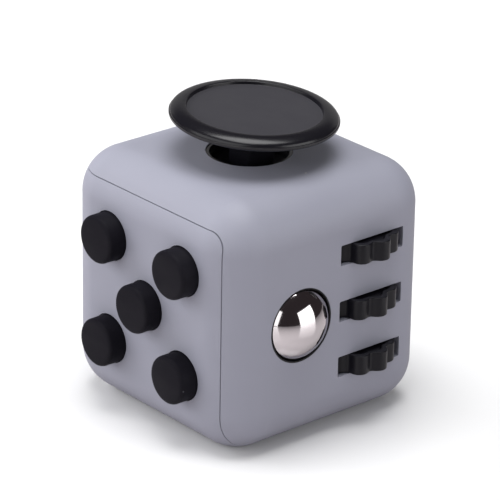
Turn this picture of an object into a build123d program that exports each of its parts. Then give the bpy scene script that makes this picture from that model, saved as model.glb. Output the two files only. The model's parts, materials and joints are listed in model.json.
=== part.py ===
"""A fidget cube: a two-part casing that carries a different finger control on each of its six faces.

Millimetres. The origin is the centre of the base face and +Z points up. The five push buttons face -Y,
the thumb wheels and the ball face +X, the joystick stands on +Z, the rocker faces +Y, the spinning dial
faces -X, and the base holds the thumb dish.
"""

import os
from math import asin, cos, degrees, pi, sin, sqrt

from build123d import *

os.makedirs("parts", exist_ok=True)

# ---- Driving dimensions --------------------------------------------------------------------------

# casing
cube_side = 33.0
edge_radius = 6.0
wall = 1.8
seam_inset = 3.05
seam_corner_radius = 2.2
seam_gap = 0.12
lap_length = 1.5
lap_depth = 1.0

# fits shared by every control
running_gap = 0.05
sliding_gap = 0.10
seat_gap = 0.05
screw_gap = 0.03

# how far a cut runs on past the surface that it opens
cut_past = 1.0

# screws
screw_radius = 0.6
screw_head_radius = 1.2
screw_head_height = 0.7
recess_length = 1.3
recess_width = 0.3
recess_depth = 0.35
post_radius = 1.6
ear_radius = 1.8
ear_thickness = 1.2

# push buttons
button_pitch = 7.0
button_radius = 3.12
button_proud = 2.5
button_edge_radius = 0.5
button_gap = 0.12
button_flange_radius = 3.7
button_flange_thickness = 0.8
button_pip_radius = 1.0
button_pip_length = 0.35
dome_radius = 2.1
dome_height = 1.0
dome_sheet = 0.15
pad_top_radius = 1.2
plate_thickness = 1.0
plate_half_height = 10.6
plate_right_edge = 9.1
plate_screw_offset = 8.8

# thumb wheels
wheel_axis_depth = 2.85
wheel_axis_y = 6.0
wheel_pitch = 7.5
wheel_thickness = 2.56
wheel_lobes = 9
wheel_mean_radius = 4.77
wheel_wave = 0.38
wheel_wave_sharpness = 0.05
wheel_edge_radius = 0.15
wheel_phases = {"bottom": 1.78, "middle": 2.54, "top": 2.12}
wheel_side_gap = 0.09
slot_corner_radius = 0.2
axle_radius = 1.0
spacer_radius = 1.7
washer_thickness = 0.3
bracket_sheet = 1.0
bracket_low_width = 3.4
ear_half_width = 2.4
bracket_recess = 0.8
wheel_clearance = 0.65
bracket_post_offset = 3.4
bracket_post_radius = 1.4
leaf_sheet = 0.2
leaf_half_width = 0.9
leaf_bead_radius = 0.35
leaf_spine_width = 1.2

# ball
ball_radius = 5.5
ball_centre_depth = 3.3
ball_centre_y = -5.4
ball_hole_radius = 4.85
ball_hole_lip = 0.45
ball_relief = 0.15
ball_travel = 1.0
cup_radius = 4.4
cup_floor = 0.85
cup_land = 0.18
housing_sheet = 0.7
housing_back_room = 0.2
housing_front_room = 0.3
flare_lead = 2.0
flare_ear_lead = 1.0
wheel_room = 0.25
ball_spring_length = 2.8
ball_spring_radius = 2.6
spring_wire = 0.6
ball_ear_offset = 8.2

# joystick
stick_hole_radius = 5.47
pivot_depth = 5.0
lean_to_x = 3.29
lean_to_y = 1.5
stem_radius = 2.1
tail_radius = 1.3
tail_length = 3.2
stem_collar_length = 1.6
stem_block_side = 4.2
stem_block_start = 3.4
stem_block_rounding = 0.5
cap_radius = 10.65
cap_height = 10.19
cap_rim_above = 0.62
cap_rim_below = 0.78
cap_recess_radius = 8.5
cap_recess_depth = 0.45
cap_crown_rounding = 0.95
cap_rim_rounding = 0.4
cap_socket_depth = 1.3
cap_hub_radius = 3.4
cap_hub_drop = 2.3
cap_skirt_radius = 6.5
gimbal_inner_radius = 2.9
gimbal_outer_radius = 4.3
gimbal_height = 1.4
gimbal_pin_radius = 0.5
stick_housing_inner_radius = 6.0
stick_housing_radius = 7.2
stick_housing_floor_drop = 5.4
stick_housing_floor = 0.8
stick_ear_offset = 9.1
bowl_opening_radius = 3.3
bowl_sheet = 0.4
bowl_depth = 1.1
bowl_flange = 0.6
bowl_collar_sheet = 0.4
bowl_collar_drop = 0.15
bowl_fit = 0.7
stick_spring_radius = 2.4
stick_spring_length = 2.6
stick_spring_wire = 0.7

# rocker
rocker_radius = 6.3
rocker_width = 8.2
rocker_tilt = 10.0
rocker_pivot_depth = 2.8
rocker_end_height = 4.3
rocker_middle_height = 3.0
rocker_bottom = 1.2
rocker_hub_radius = 1.9
rocker_edge_radius = 0.4
rocker_hole_gap = 0.25
pin_radius = 0.8
tail_bore_radius = 1.05
tail_wall = 0.65
tail_depth = 4.0
tail_bore_top = 1.4
plunger_reach = 5.0
plunger_length = 2.5
cradle_wall = 0.9
cradle_clearance = 0.3
cradle_floor_gap = 0.15
cradle_ear_offset = 9.4
cradle_ear_drop = 2.1

# spinning dial
dial_radius = 8.2
dial_proud = 2.2
dial_gap = 0.15
dial_rim_rounding = 0.6
dial_grooves = 18
dial_groove_radius = 0.7
dial_groove_depth = 0.35
dimple_offset = 4.4
dimple_radius = 2.6
dimple_depth = 0.7
spindle_radius = 2.2
dial_boss_radius = 3.6
dial_boss_height = 1.1
wave_washer_thickness = 0.25
retainer_radius = 3.2
retainer_thickness = 0.6

# thumb dish in the base
dish_radius = 9.0
dish_depth = 1.6
dish_boss_height = 1.2
dish_rim_rounding = 0.8

# ---- Sizes that follow ---------------------------------------------------------------------------

half_side = cube_side / 2
inner_half = half_side - wall
middle = half_side
screw_bore_radius = screw_radius + screw_gap
screw_hole_radius = screw_radius + sliding_gap
seam_face = half_side - seam_inset
wheel_axis_x = half_side - wheel_axis_depth
ball_centre_x = half_side - ball_centre_depth
pivot_height = cube_side - pivot_depth
stick_housing_floor_height = pivot_height - stick_housing_floor_drop

# Every face has a plane at the cube's centre, so that an offset is a distance out from the centre.
cube_centre = (0, 0, middle)
click_plane = Plane(origin=cube_centre, x_dir=(1, 0, 0), z_dir=(0, -1, 0))
roll_plane = Plane(origin=cube_centre, x_dir=(0, 1, 0), z_dir=(1, 0, 0))
glide_plane = Plane(origin=cube_centre, x_dir=(1, 0, 0), z_dir=(0, 0, 1))
flip_plane = Plane(origin=cube_centre, x_dir=(-1, 0, 0), z_dir=(0, 1, 0))
spin_plane = Plane(origin=cube_centre, x_dir=(0, -1, 0), z_dir=(-1, 0, 0))
base_plane = Plane(origin=cube_centre, x_dir=(1, 0, 0), z_dir=(0, 0, -1))


# ---- Helpers -------------------------------------------------------------------------------------


def bars(plane, start, end, radius, spots=((0, 0),), mode=Mode.ADD):
    """Round bars along a plane's normal, from one distance off the plane to another."""
    with BuildSketch(plane.offset(start)) as section:
        with Locations(*spots):
            Circle(radius)
    extrude(section.sketch, amount=end - start, mode=mode)


def tubes(plane, start, end, outer, inner, spots=((0, 0),)):
    """Round tubes along a plane's normal."""
    with BuildSketch(plane.offset(start)) as section:
        with Locations(*spots):
            Circle(outer)
            Circle(inner, mode=Mode.SUBTRACT)
    extrude(section.sketch, amount=end - start)


def slab(plane, start, end, low, high, mode=Mode.ADD, rounding=0):
    """A rectangular slab between two distances off a plane and two corners on it."""
    with BuildSketch(plane.offset(start)) as section:
        with Locations(((low[0] + high[0]) / 2, (low[1] + high[1]) / 2)):
            if rounding:
                RectangleRounded(high[0] - low[0], high[1] - low[1], rounding)
            else:
                Rectangle(high[0] - low[0], high[1] - low[1])
    extrude(section.sketch, amount=end - start, mode=mode)


def turned(plane, points, mode=Mode.ADD):
    """A turned solid: points are (radius, distance along the plane's normal)."""
    profile_plane = Plane(origin=plane.origin, x_dir=plane.x_dir, z_dir=-plane.y_dir)
    with BuildSketch(profile_plane) as section:
        with BuildLine():
            Polyline(*points, close=True)
        make_face()
    revolve(section.sketch, axis=Axis(plane.origin, plane.z_dir), mode=mode)


def screws(plane, seat, length, spots):
    """Cross-head screws whose heads lie inward of the seat and whose shanks point outward."""
    bars(plane, seat - screw_head_height, seat, screw_head_radius, spots)
    bars(plane, seat, seat + length, screw_radius, spots)
    with BuildSketch(plane.offset(seat - screw_head_height)) as recess:
        with Locations(*spots):
            Rectangle(recess_length, recess_width)
            Rectangle(recess_width, recess_length)
    extrude(recess.sketch, amount=recess_depth, mode=Mode.SUBTRACT)


def posts(plane, seat, spots, radius=post_radius):
    """Screw posts that stand on the inside of a wall, up to the seat of what they hold."""
    bars(plane, seat, inner_half + seat_gap, radius, spots)
    bars(plane, seat, inner_half + wall / 3, screw_bore_radius, spots, Mode.SUBTRACT)


def finished(builder, name):
    """Labels a finished piece and writes its file."""
    builder.part.label = name
    export_step(builder.part, f"parts/{name}.step")


def rounded_block(inset):
    """The cube's rounded outline, moved inward by an inset."""
    with BuildPart(Plane(cube_centre)) as block:
        side = cube_side - 2 * inset
        Box(side, side, side)
        fillet(block.edges(), edge_radius - inset)
    return block.part


def seam_block(retreat):
    """A block with its corner at the seam, which holds the front, left and base faces."""
    reach = 2 * cube_side
    far = seam_face - retreat
    with BuildPart(Plane((far - reach / 2, far - reach / 2, middle + far - reach / 2))) as block:
        Box(reach, reach, reach)
        corner = Vector(far, far, middle + far)
        meeting = block.edges().filter_by(
            lambda edge: any((v.center() - corner).length < 0.01 for v in edge.vertices())
        )
        fillet(meeting, seam_corner_radius)
    return block.part


# ---- Where the controls sit ----------------------------------------------------------------------

# push buttons, as distances out from the cube's centre along -Y
button_spots = [(0, 0)] + [(a * button_pitch, b * button_pitch) for a in (-1, 1) for b in (1, -1)]
flange_front = inner_half - seat_gap
flange_back = flange_front - button_flange_thickness
pip_end = flange_back - button_pip_length
dome_top = pip_end - seat_gap
plate_front = dome_top - dome_height
plate_back = plate_front - plate_thickness
plate_screw_spots = [(0, plate_screw_offset), (0, -plate_screw_offset), (-plate_screw_offset, 0)]

# thumb wheels, on an axle along Z
wheel_tip_radius = wheel_mean_radius + wheel_wave - wheel_wave_sharpness
wheel_plane = Plane(origin=(wheel_axis_x, wheel_axis_y, middle))
wheel_levels = {"bottom": -wheel_pitch, "middle": 0.0, "top": wheel_pitch}
slot_height = wheel_thickness + 2 * wheel_side_gap
slot_half_width = wheel_tip_radius + running_gap
stack_end = wheel_pitch + wheel_thickness / 2
bracket_inside = stack_end + washer_thickness + 2 * seat_gap
bracket_outside = bracket_inside + bracket_sheet
bracket_front = wheel_axis_x - wheel_tip_radius - wheel_clearance
bracket_back = bracket_front - bracket_sheet
bracket_screw_spots = [
    (wheel_axis_y + bracket_post_offset, wheel_pitch / 2),
    (wheel_axis_y + bracket_post_offset, -wheel_pitch / 2),
]

# ball, as distances out from the cube's centre along +X
ball_centre = (ball_centre_x, ball_centre_y, middle)
ball_plane = roll_plane.offset(0).shift_origin((0, ball_centre_y, middle))
seat_radius = ball_radius + running_gap
cup_front = ball_centre_x - sqrt(seat_radius**2 - (cup_radius - cup_land) ** 2)
cup_back = ball_centre_x - seat_radius - cup_floor
housing_bore = cup_radius + sliding_gap
housing_floor_front = cup_back - ball_spring_length
flare_radius = ball_radius + ball_relief + sliding_gap
# The tube opens where the pressed ball would meet it and is fully open well before the ball's centre.
pressed_centre = ball_centre_x - ball_travel
bore_meets_ball = pressed_centre - sqrt(ball_radius**2 - cup_radius**2)
flare_start = bore_meets_ball - housing_back_room
flare_end = ball_centre_x - flare_lead
housing_front = inner_half - housing_front_room
ball_ear_front = flare_end + flare_ear_lead
ball_ear_spots = [(ball_centre_y, ball_ear_offset), (ball_centre_y, -ball_ear_offset)]

# joystick: the gimbal ring leans about X, and the stick leans about the ring's own Y
pivot_plane = Plane(origin=(0, 0, pivot_height))
gimbal_plane = Plane(pivot_plane.location * Rotation(-lean_to_y, 0, 0))
stick_plane = Plane(gimbal_plane.location * Rotation(0, lean_to_x, 0))
top_inside = cube_side - wall
bowl_top = top_inside - seat_gap
housing_top = bowl_top - bowl_flange - seat_gap
stick_ear_spots = [
    (stick_ear_offset * cos(pi / 4 + k * pi / 2), stick_ear_offset * sin(pi / 4 + k * pi / 2))
    for k in range(4)
]
stick_ear_seat = housing_top - ear_thickness - bowl_fit

# rocker: its pin lies along X, just inside the back wall
rocker_pivot_y = half_side - rocker_pivot_depth
rocker_pivot = (0, rocker_pivot_y, middle)
cradle_plane = Plane(origin=rocker_pivot, x_dir=(0, 1, 0), z_dir=(1, 0, 0))
rocker_plane = Plane(cradle_plane.location * Rotation(0, 0, rocker_tilt))
cradle_half_inside = rocker_width / 2 + cradle_clearance
cradle_half_width = cradle_half_inside + cradle_wall
cradle_half_height = rocker_radius + cradle_clearance + cradle_wall
cradle_floor_radius = plunger_reach + cradle_floor_gap
cradle_top = inner_half - rocker_pivot_y - seat_gap
cradle_ear_seat = inner_half - ear_thickness - cradle_ear_drop
cradle_ear_spots = [(0, cradle_ear_offset), (0, -cradle_ear_offset)]

# dial, as distances out from the cube's centre along -X
dial_back = half_side + dial_gap
dial_front = half_side + dial_proud
boss_end = inner_half - dial_boss_height
washer_end = boss_end - seat_gap - wave_washer_thickness
spindle_end = washer_end - seat_gap
retainer_end = spindle_end - retainer_thickness

# ---- Casing --------------------------------------------------------------------------------------

outer_block = rounded_block(0)
cavity_block = rounded_block(wall)
dish_sphere_radius = (dish_radius**2 + dish_depth**2) / (2 * dish_depth)

seam_line = seam_block(0)
seam_line_opened = seam_block(-seam_gap)
lap_end = seam_block(lap_length)
lip_end = seam_block(lap_length - seam_gap)
lap_space_skin = rounded_block(lap_depth - seat_gap)
lip_skin = rounded_block(lap_depth)

# what the lower shell leaves free for the upper shell's lip
with BuildPart() as lap_space:
    add(lap_space_skin)
    add(lap_end, mode=Mode.SUBTRACT)

# the upper shell's lip, which slides behind the lower shell's edges
with BuildPart() as lip:
    add(lip_skin)
    add(lip_end, mode=Mode.SUBTRACT)

# the ball's way out: a short round lip, eased on the inside to the ball's own curve
with BuildPart() as ball_opening:
    eased_radius = ball_radius + ball_relief
    lip_rise = half_side - ball_hole_lip - ball_centre_x
    inner_rise = inner_half - cut_past - ball_centre_x
    lip_angle = degrees(asin(lip_rise / eased_radius))
    inner_angle = degrees(asin(inner_rise / eased_radius))
    with BuildSketch(Plane(origin=ball_plane.origin, x_dir=ball_plane.x_dir, z_dir=-ball_plane.y_dir)):
        with BuildLine():
            eased = CenterArc((0, ball_centre_x), eased_radius, inner_angle, lip_angle - inner_angle)
            Polyline(
                eased @ 1,
                (ball_hole_radius, ball_centre_x + lip_rise),
                (ball_hole_radius, half_side + cut_past),
                (0, half_side + cut_past),
                (0, ball_centre_x + inner_rise),
                eased @ 0,
            )
        make_face()
    revolve(axis=Axis(ball_plane.origin, ball_plane.z_dir))

# front, left and base faces
with BuildPart() as lower_shell:
    add(outer_block)
    add(seam_line, mode=Mode.INTERSECT)
    add(lap_space.part, mode=Mode.SUBTRACT)
    add(cavity_block, mode=Mode.SUBTRACT)
    # front: button holes, and the posts of the plate behind them
    bars(
        click_plane,
        inner_half - cut_past,
        half_side + cut_past,
        button_radius + button_gap,
        button_spots,
        Mode.SUBTRACT,
    )
    posts(click_plane, plate_front, plate_screw_spots)
    # left: the dial's bearing
    bars(spin_plane, boss_end, inner_half + seat_gap, dial_boss_radius)
    bars(spin_plane, boss_end, half_side + cut_past, spindle_radius + running_gap, mode=Mode.SUBTRACT)
    # base: the thumb dish, backed by a boss
    bars(base_plane, inner_half - dish_boss_height, inner_half + seat_gap, dish_radius)
    with Locations((0, 0, dish_depth - dish_sphere_radius)):
        Sphere(dish_sphere_radius, mode=Mode.SUBTRACT)
    dish_rim = lower_shell.edges().filter_by(GeomType.CIRCLE).sort_by(Axis.Z)[0]
    fillet(dish_rim, dish_rim_rounding)
finished(lower_shell, "lower_shell")

# top, right and back faces
with BuildPart() as upper_shell:
    add(outer_block)
    add(seam_line_opened, mode=Mode.SUBTRACT)
    add(lip.part)
    add(cavity_block, mode=Mode.SUBTRACT)
    # top: joystick hole, and the posts of its housing
    bars(glide_plane, inner_half - cut_past, half_side + cut_past, stick_hole_radius, mode=Mode.SUBTRACT)
    posts(glide_plane, stick_ear_seat + ear_thickness - middle, stick_ear_spots)
    # right: a recess for the bracket's ears, the wheel slots and the bracket's posts
    slab(
        roll_plane,
        inner_half - cut_past,
        inner_half + bracket_recess,
        (wheel_axis_y - ear_half_width - sliding_gap, -bracket_outside - sliding_gap),
        (wheel_axis_y + ear_half_width + sliding_gap, bracket_outside + sliding_gap),
        Mode.SUBTRACT,
    )
    for level in wheel_levels.values():
        slab(
            roll_plane,
            inner_half - cut_past,
            half_side + cut_past,
            (wheel_axis_y - slot_half_width, level - slot_height / 2),
            (wheel_axis_y + slot_half_width, level + slot_height / 2),
            Mode.SUBTRACT,
            slot_corner_radius,
        )
    posts(roll_plane, bracket_front, bracket_screw_spots, bracket_post_radius)
    # right: the ball's opening and its housing's posts
    add(ball_opening.part, mode=Mode.SUBTRACT)
    posts(roll_plane, ball_ear_front + ear_thickness, ball_ear_spots)
    # back: rocker opening and the cradle's posts
    slab(
        flip_plane,
        inner_half - cut_past,
        half_side + cut_past,
        (-rocker_width / 2 - rocker_hole_gap, -rocker_radius - rocker_hole_gap),
        (rocker_width / 2 + rocker_hole_gap, rocker_radius + rocker_hole_gap),
        Mode.SUBTRACT,
        rocker_edge_radius,
    )
    posts(flip_plane, cradle_ear_seat + ear_thickness, cradle_ear_spots)
finished(upper_shell, "upper_shell")

# ---- Push buttons --------------------------------------------------------------------------------

for number, spot in enumerate(button_spots, start=1):
    with BuildPart() as click_button:
        bars(click_plane, flange_front, half_side + button_proud, button_radius, [spot])
        face_rim = click_button.edges().filter_by(GeomType.CIRCLE).sort_by(Axis.Y)[0]
        fillet(face_rim, button_edge_radius)
        bars(click_plane, flange_back, flange_front, button_flange_radius, [spot])
        bars(click_plane, pip_end, flange_back, button_pip_radius, [spot])
    finished(click_button, f"click_button_{number}")

# Three buttons click on sprung steel domes and two are silent on soft pads.
snap_spots = [button_spots[0], button_spots[2], button_spots[3]]
pad_spots = [button_spots[1], button_spots[4]]
dome_sphere = (dome_radius**2 + dome_height**2) / (2 * dome_height)

for number, spot in enumerate(snap_spots, start=1):
    with BuildPart() as snap_dome:
        sphere_centre = click_plane.offset(dome_top - dome_sphere).location * Location((*spot, 0))
        with Locations(sphere_centre):
            Sphere(dome_sphere)
            Sphere(dome_sphere - dome_sheet, mode=Mode.SUBTRACT)
        slab(
            click_plane,
            plate_front,
            dome_top + cut_past,
            (spot[0] - dome_sphere, spot[1] - dome_sphere),
            (spot[0] + dome_sphere, spot[1] + dome_sphere),
            Mode.INTERSECT,
        )
    finished(snap_dome, f"snap_dome_{number}")

for number, spot in enumerate(pad_spots, start=1):
    with BuildPart() as silent_pad:
        with BuildSketch(click_plane.offset(plate_front)):
            with Locations(spot):
                Circle(dome_radius)
        with BuildSketch(click_plane.offset(dome_top)):
            with Locations(spot):
                Circle(pad_top_radius)
        loft()
    finished(silent_pad, f"silent_pad_{number}")

with BuildPart() as button_plate:
    slab(
        click_plane,
        plate_back,
        plate_front,
        (-plate_half_height, -plate_half_height),
        (plate_right_edge, plate_half_height),
        rounding=edge_radius / 3,
    )
    bars(click_plane, plate_back, plate_front, screw_hole_radius, plate_screw_spots, Mode.SUBTRACT)
finished(button_plate, "button_plate")

with BuildPart() as button_plate_screws:
    screws(click_plane, plate_back, inner_half - plate_back, plate_screw_spots)
finished(button_plate_screws, "button_plate_screws")

# ---- Thumb wheels --------------------------------------------------------------------------------


def wheel_outline(phase):
    """Points on a thumb wheel's edge: smooth waves round a mean radius, four points to a wave."""
    points = []
    for step in range(4 * wheel_lobes):
        turn = 2 * pi * step / (4 * wheel_lobes)
        wave = wheel_lobes * turn + phase
        radius = wheel_mean_radius - wheel_wave * cos(wave) - wheel_wave_sharpness * cos(2 * wave)
        points.append((radius * cos(turn), radius * sin(turn)))
    return points


for name, level in wheel_levels.items():
    with BuildPart() as wheel:
        with BuildSketch(wheel_plane.offset(level - wheel_thickness / 2)):
            with BuildLine():
                Spline(*wheel_outline(wheel_phases[name]), periodic=True)
            make_face()
        extrude(amount=wheel_thickness)
        rims = wheel.faces().filter_by(Axis.Z).edges()
        fillet(rims, wheel_edge_radius)
        bars(
            wheel_plane,
            level - wheel_thickness / 2,
            level + wheel_thickness / 2,
            axle_radius + running_gap,
            mode=Mode.SUBTRACT,
        )
    finished(wheel, f"wheel_{name}")

with BuildPart() as wheel_axle:
    bars(wheel_plane, -bracket_outside - seat_gap, bracket_outside + seat_gap, axle_radius)
    chamfer(wheel_axle.edges(), axle_radius / 5)
finished(wheel_axle, "wheel_axle")

# two sleeves between the wheels and a washer at each end of the stack
with BuildPart() as wheel_spacers:
    spacer_bore = axle_radius + screw_gap
    sleeve_start = wheel_thickness / 2 + seat_gap
    sleeve_end = wheel_pitch - sleeve_start
    washer_start = stack_end + seat_gap
    washer_stop = washer_start + washer_thickness
    tubes(wheel_plane, sleeve_start, sleeve_end, spacer_radius, spacer_bore)
    tubes(wheel_plane, -sleeve_end, -sleeve_start, spacer_radius, spacer_bore)
    tubes(wheel_plane, washer_start, washer_stop, spacer_radius, spacer_bore)
    tubes(wheel_plane, -washer_stop, -washer_start, spacer_radius, spacer_bore)
finished(wheel_spacers, "wheel_spacers")

with BuildPart() as wheel_bracket:
    slab(
        roll_plane,
        bracket_back,
        bracket_front,
        (wheel_axis_y - bracket_low_width, -bracket_outside),
        (wheel_axis_y + bracket_post_offset + ear_radius, bracket_outside),
    )
    for inside, outside in ((bracket_inside, bracket_outside), (-bracket_outside, -bracket_inside)):
        slab(
            roll_plane,
            bracket_front,
            inner_half + bracket_recess - sliding_gap,
            (wheel_axis_y - ear_half_width, inside),
            (wheel_axis_y + ear_half_width, outside),
        )
    bars(wheel_plane, -bracket_outside, bracket_outside, axle_radius + screw_gap, mode=Mode.SUBTRACT)
    bars(roll_plane, bracket_back, bracket_front, screw_hole_radius, bracket_screw_spots, Mode.SUBTRACT)
finished(wheel_bracket, "wheel_bracket")

with BuildPart() as wheel_click_spring:
    leaf_back = bracket_front + seat_gap
    leaf_front = leaf_back + leaf_sheet
    spine_end = wheel_axis_y + bracket_post_offset - ear_radius
    leaf_free_end = wheel_axis_y - ear_half_width
    spine_start = spine_end - leaf_spine_width
    slab(roll_plane, leaf_back, leaf_front, (spine_start, -stack_end), (spine_end, stack_end))
    for level in wheel_levels.values():
        slab(
            roll_plane,
            leaf_back,
            leaf_front,
            (leaf_free_end, level - leaf_half_width),
            (spine_end, level + leaf_half_width),
        )
        bead = Plane(origin=(leaf_back + leaf_sheet, wheel_axis_y - leaf_bead_radius, middle + level))
        bars(bead, -leaf_half_width, leaf_half_width, leaf_bead_radius)
    slab(
        roll_plane,
        leaf_back - cut_past,
        leaf_back,
        (leaf_free_end - cut_past, -2 * stack_end),
        (spine_end + cut_past, 2 * stack_end),
        Mode.SUBTRACT,
    )
finished(wheel_click_spring, "wheel_click_spring")

with BuildPart() as wheel_bracket_screws:
    screws(roll_plane, bracket_back, inner_half - bracket_back, bracket_screw_spots)
finished(wheel_bracket_screws, "wheel_bracket_screws")

# ---- Ball ----------------------------------------------------------------------------------------

with BuildPart() as ball:
    with Locations(ball_centre):
        Sphere(ball_radius)
finished(ball, "ball")

with BuildPart() as ball_cup:
    bars(ball_plane, cup_back, cup_front, cup_radius)
    with Locations(ball_centre):
        Sphere(seat_radius, mode=Mode.SUBTRACT)
finished(ball_cup, "ball_cup")

with BuildPart() as ball_spring:
    tubes(
        ball_plane,
        housing_floor_front + seat_gap,
        cup_back - seat_gap,
        ball_spring_radius,
        ball_spring_radius - spring_wire,
    )
finished(ball_spring, "ball_spring")

with BuildPart() as ball_housing:
    vent_radius = ball_spring_radius - spring_wire
    turned(
        ball_plane,
        [
            (vent_radius, housing_floor_front - housing_sheet),
            (housing_bore + housing_sheet, housing_floor_front - housing_sheet),
            (housing_bore + housing_sheet, flare_start),
            (flare_radius + housing_sheet, flare_end),
            (flare_radius + housing_sheet, housing_front),
            (flare_radius, housing_front),
            (flare_radius, flare_end),
            (housing_bore, flare_start),
            (housing_bore, housing_floor_front),
            (vent_radius, housing_floor_front),
        ],
    )
    for spot in ball_ear_spots:
        side = 1 if spot[1] > 0 else -1
        ear_root = side * (flare_radius + housing_sheet / 2)
        bars(roll_plane, ball_ear_front, ball_ear_front + ear_thickness, ear_radius, [spot])
        slab(
            roll_plane,
            ball_ear_front,
            ball_ear_front + ear_thickness,
            (spot[0] - ear_radius, min(ear_root, spot[1])),
            (spot[0] + ear_radius, max(ear_root, spot[1])),
        )
    bars(
        roll_plane,
        ball_ear_front,
        ball_ear_front + ear_thickness,
        screw_hole_radius,
        ball_ear_spots,
        Mode.SUBTRACT,
    )
    # room for the middle wheel, which turns close beside the ball
    bars(
        wheel_plane,
        -wheel_thickness,
        wheel_thickness,
        wheel_tip_radius + wheel_room,
        mode=Mode.SUBTRACT,
    )
finished(ball_housing, "ball_housing")

with BuildPart() as ball_housing_screws:
    screws(roll_plane, ball_ear_front, inner_half - ball_ear_front, ball_ear_spots)
finished(ball_housing_screws, "ball_housing_screws")

# ---- Joystick ------------------------------------------------------------------------------------

cap_top = cap_height + cap_rim_above
cap_edge_bottom = cap_height - cap_rim_below
cap_underside = cap_height - cap_hub_drop
recess_floor = cap_top - cap_recess_depth
socket_top = cap_underside + cap_socket_depth

with BuildPart() as glide_cap:
    turned(
        stick_plane,
        [
            (0, socket_top),
            (0, recess_floor),
            (cap_recess_radius, recess_floor),
            (cap_recess_radius, cap_top),
            (cap_radius, cap_top),
            (cap_radius, cap_edge_bottom),
            (cap_skirt_radius, cap_edge_bottom),
            (cap_hub_radius, cap_underside),
            (stem_radius + seat_gap, cap_underside),
            (stem_radius + seat_gap, socket_top),
        ],
    )
    outer_rims = glide_cap.edges().filter_by(
        lambda edge: edge.geom_type == GeomType.CIRCLE and abs(edge.radius - cap_radius) < 0.01
    )
    upper_rim = outer_rims.sort_by(Axis.Z)[-1]
    lower_rim = outer_rims.sort_by(Axis.Z)[0]
    fillet(upper_rim, cap_crown_rounding)
    fillet(lower_rim, cap_rim_rounding)
finished(glide_cap, "glide_cap")

with BuildPart() as glide_stem:
    bars(stick_plane, -stem_collar_length, socket_top - seat_gap, stem_radius)
    bars(stick_plane, -tail_length, -stem_collar_length, tail_radius)
    slab(
        stick_plane,
        stem_block_start,
        cap_underside - seat_gap,
        (-stem_block_side / 2, -stem_block_side / 2),
        (stem_block_side / 2, stem_block_side / 2),
        rounding=stem_block_rounding,
    )
    pin_plane = Plane(origin=stick_plane.origin, x_dir=stick_plane.x_dir, z_dir=stick_plane.y_dir)
    bars(pin_plane, -gimbal_outer_radius, gimbal_outer_radius, gimbal_pin_radius)
finished(glide_stem, "glide_stem")

with BuildPart() as glide_gimbal:
    tubes(gimbal_plane, -gimbal_height / 2, gimbal_height / 2, gimbal_outer_radius, gimbal_inner_radius)
    across = Plane(origin=gimbal_plane.origin, x_dir=gimbal_plane.x_dir, z_dir=gimbal_plane.y_dir)
    along = Plane(origin=gimbal_plane.origin, x_dir=gimbal_plane.y_dir, z_dir=gimbal_plane.x_dir)
    reach = stick_housing_radius - sliding_gap
    inside = gimbal_outer_radius - sliding_gap
    bars(along, inside, reach, gimbal_pin_radius)
    bars(along, -reach, -inside, gimbal_pin_radius)
    bars(across, -reach, reach, gimbal_pin_radius + running_gap, mode=Mode.SUBTRACT)
finished(glide_gimbal, "glide_gimbal")

with BuildPart() as glide_bowl:
    collar_radius = stick_hole_radius - seat_gap
    bowl_rim = collar_radius - bowl_collar_sheet
    collar_top = cube_side - bowl_collar_drop
    turned(
        Plane.XY,
        [
            (bowl_opening_radius, bowl_top - bowl_depth),
            (bowl_rim, bowl_top),
            (bowl_rim, collar_top),
            (collar_radius, collar_top),
            (collar_radius, bowl_top),
            (stick_housing_radius, bowl_top),
            (stick_housing_radius, bowl_top - bowl_flange),
            (bowl_rim, bowl_top - bowl_flange),
            (bowl_opening_radius, bowl_top - bowl_depth - bowl_sheet),
        ],
    )
finished(glide_bowl, "glide_bowl")

with BuildPart() as glide_housing:
    bars(Plane.XY, stick_housing_floor_height, housing_top, stick_housing_radius)
    ear_start = stick_ear_seat
    bars(Plane.XY, ear_start, ear_start + ear_thickness, ear_radius, stick_ear_spots)
    with BuildSketch(Plane.XY.offset(ear_start)):
        with PolarLocations(stick_housing_radius, 4, start_angle=45):
            Rectangle(2 * (stick_ear_offset - stick_housing_radius), 2 * ear_radius)
    extrude(amount=ear_thickness)
    bars(
        Plane.XY,
        stick_housing_floor_height + stick_housing_floor,
        housing_top,
        stick_housing_inner_radius,
        mode=Mode.SUBTRACT,
    )
    bars(Plane.XY, ear_start, ear_start + ear_thickness, screw_hole_radius, stick_ear_spots, Mode.SUBTRACT)
    trunnion_plane = Plane(origin=pivot_plane.origin, x_dir=(0, 1, 0), z_dir=(1, 0, 0))
    trunnion_reach = stick_housing_radius + cut_past
    bars(
        trunnion_plane,
        -trunnion_reach,
        trunnion_reach,
        gimbal_pin_radius + running_gap,
        mode=Mode.SUBTRACT,
    )
finished(glide_housing, "glide_housing")

with BuildPart() as glide_spring:
    spring_foot = stick_housing_floor_height + stick_housing_floor + seat_gap
    tubes(
        Plane.XY,
        spring_foot,
        spring_foot + stick_spring_length,
        stick_spring_radius,
        stick_spring_radius - stick_spring_wire,
    )
finished(glide_spring, "glide_spring")

with BuildPart() as glide_housing_screws:
    screws(Plane.XY, stick_ear_seat, top_inside - stick_ear_seat, stick_ear_spots)
finished(glide_housing_screws, "glide_housing_screws")

# ---- Rocker --------------------------------------------------------------------------------------

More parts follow.
